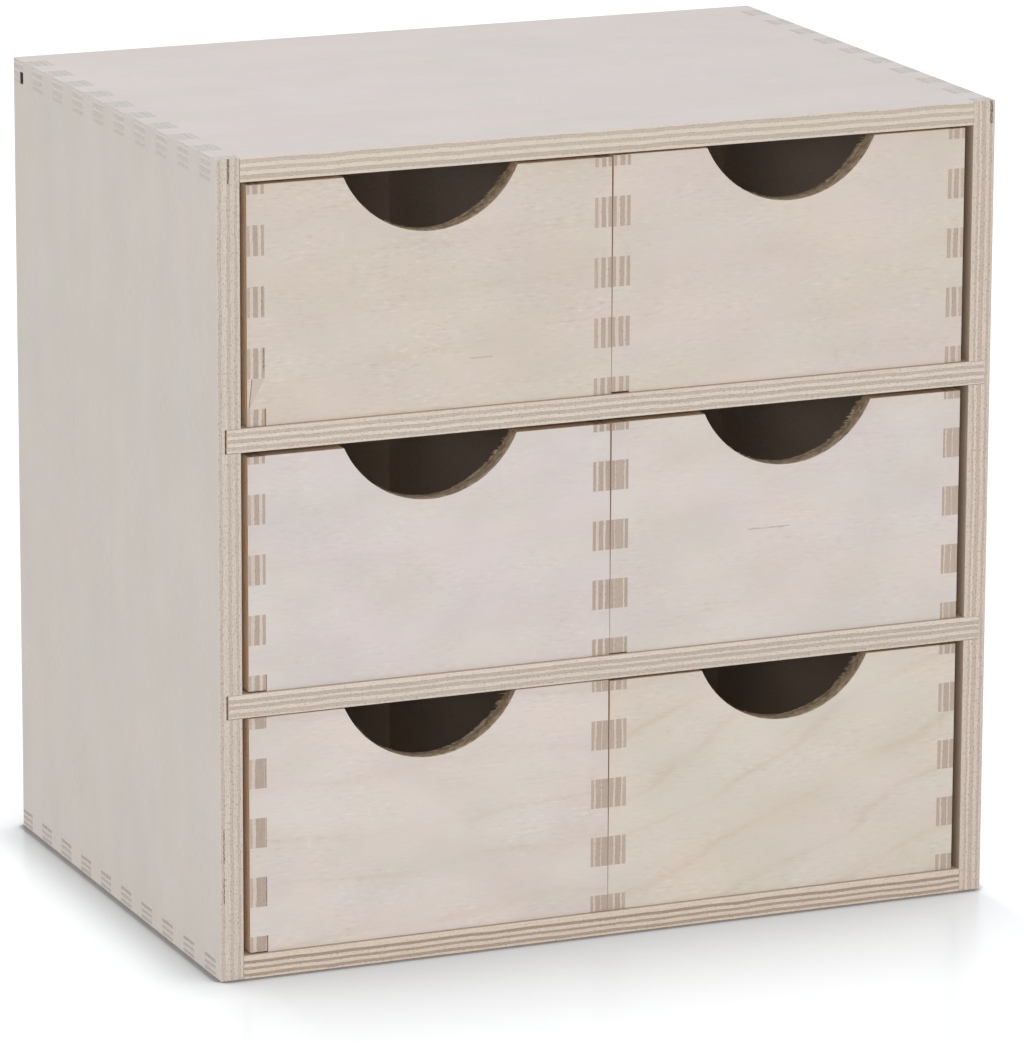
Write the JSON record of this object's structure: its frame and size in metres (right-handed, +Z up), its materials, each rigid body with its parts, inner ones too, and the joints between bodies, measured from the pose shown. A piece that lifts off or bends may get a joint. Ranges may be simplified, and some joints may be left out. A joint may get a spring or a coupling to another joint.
{
  "type": "desktop mini drawer chest",
  "caption": "Small desktop chest of finger-jointed plywood with rows of paired box drawers that slide out by half-round finger cut-outs.",
  "frame": {"origin": "middle of the footprint, on the surface that the chest stands on", "axes": "+Z up, -Y towards the drawer fronts, +X to the right as the fronts are seen"},
  "size_m": [0.275, 0.195, 0.272],
  "materials": {
    "cabinet_plywood": "sanded, untreated birch plywood, 8 mm",
    "drawer_front_plywood": "sanded, untreated birch plywood, 6 mm",
    "drawer_wall_plywood": "sanded, untreated birch plywood, 6 mm",
    "thin_plywood": "untreated thin plywood, 3 mm"
  },
  "bodies": {
    "cabinet": {"cabinet_left_side": "cabinet_plywood", "cabinet_right_side": "cabinet_plywood", "cabinet_top": "cabinet_plywood", "cabinet_bottom": "cabinet_plywood", "lower_shelf": "cabinet_plywood", "upper_shelf": "cabinet_plywood", "cabinet_back": "thin_plywood"},
    "bottom_left_drawer": {"bottom_left_drawer_front": "drawer_front_plywood", "bottom_left_drawer_left_side": "drawer_wall_plywood", "bottom_left_drawer_right_side": "drawer_wall_plywood", "bottom_left_drawer_back": "drawer_wall_plywood", "bottom_left_drawer_bottom": "thin_plywood"},
    "bottom_right_drawer": {"bottom_right_drawer_front": "drawer_front_plywood", "bottom_right_drawer_left_side": "drawer_wall_plywood", "bottom_right_drawer_right_side": "drawer_wall_plywood", "bottom_right_drawer_back": "drawer_wall_plywood", "bottom_right_drawer_bottom": "thin_plywood"},
    "middle_left_drawer": {"middle_left_drawer_front": "drawer_front_plywood", "middle_left_drawer_left_side": "drawer_wall_plywood", "middle_left_drawer_right_side": "drawer_wall_plywood", "middle_left_drawer_back": "drawer_wall_plywood", "middle_left_drawer_bottom": "thin_plywood"},
    "middle_right_drawer": {"middle_right_drawer_front": "drawer_front_plywood", "middle_right_drawer_left_side": "drawer_wall_plywood", "middle_right_drawer_right_side": "drawer_wall_plywood", "middle_right_drawer_back": "drawer_wall_plywood", "middle_right_drawer_bottom": "thin_plywood"},
    "top_left_drawer": {"top_left_drawer_front": "drawer_front_plywood", "top_left_drawer_left_side": "drawer_wall_plywood", "top_left_drawer_right_side": "drawer_wall_plywood", "top_left_drawer_back": "drawer_wall_plywood", "top_left_drawer_bottom": "thin_plywood"},
    "top_right_drawer": {"top_right_drawer_front": "drawer_front_plywood", "top_right_drawer_left_side": "drawer_wall_plywood", "top_right_drawer_right_side": "drawer_wall_plywood", "top_right_drawer_back": "drawer_wall_plywood", "top_right_drawer_bottom": "thin_plywood"}
  },
  "joints": [
    {"name": "bottom_left_drawer_slide", "type": "slide", "parent": "cabinet", "child": "bottom_left_drawer", "axis": [0, -1, 0], "range_m": [0, 0.15]},
    {"name": "bottom_right_drawer_slide", "type": "slide", "parent": "cabinet", "child": "bottom_right_drawer", "axis": [0, -1, 0], "range_m": [0, 0.15]},
    {"name": "middle_left_drawer_slide", "type": "slide", "parent": "cabinet", "child": "middle_left_drawer", "axis": [0, -1, 0], "range_m": [0, 0.15]},
    {"name": "middle_right_drawer_slide", "type": "slide", "parent": "cabinet", "child": "middle_right_drawer", "axis": [0, -1, 0], "range_m": [0, 0.15]},
    {"name": "top_left_drawer_slide", "type": "slide", "parent": "cabinet", "child": "top_left_drawer", "axis": [0, -1, 0], "range_m": [0, 0.15]},
    {"name": "top_right_drawer_slide", "type": "slide", "parent": "cabinet", "child": "top_right_drawer", "axis": [0, -1, 0], "range_m": [0, 0.15]}
  ]
}
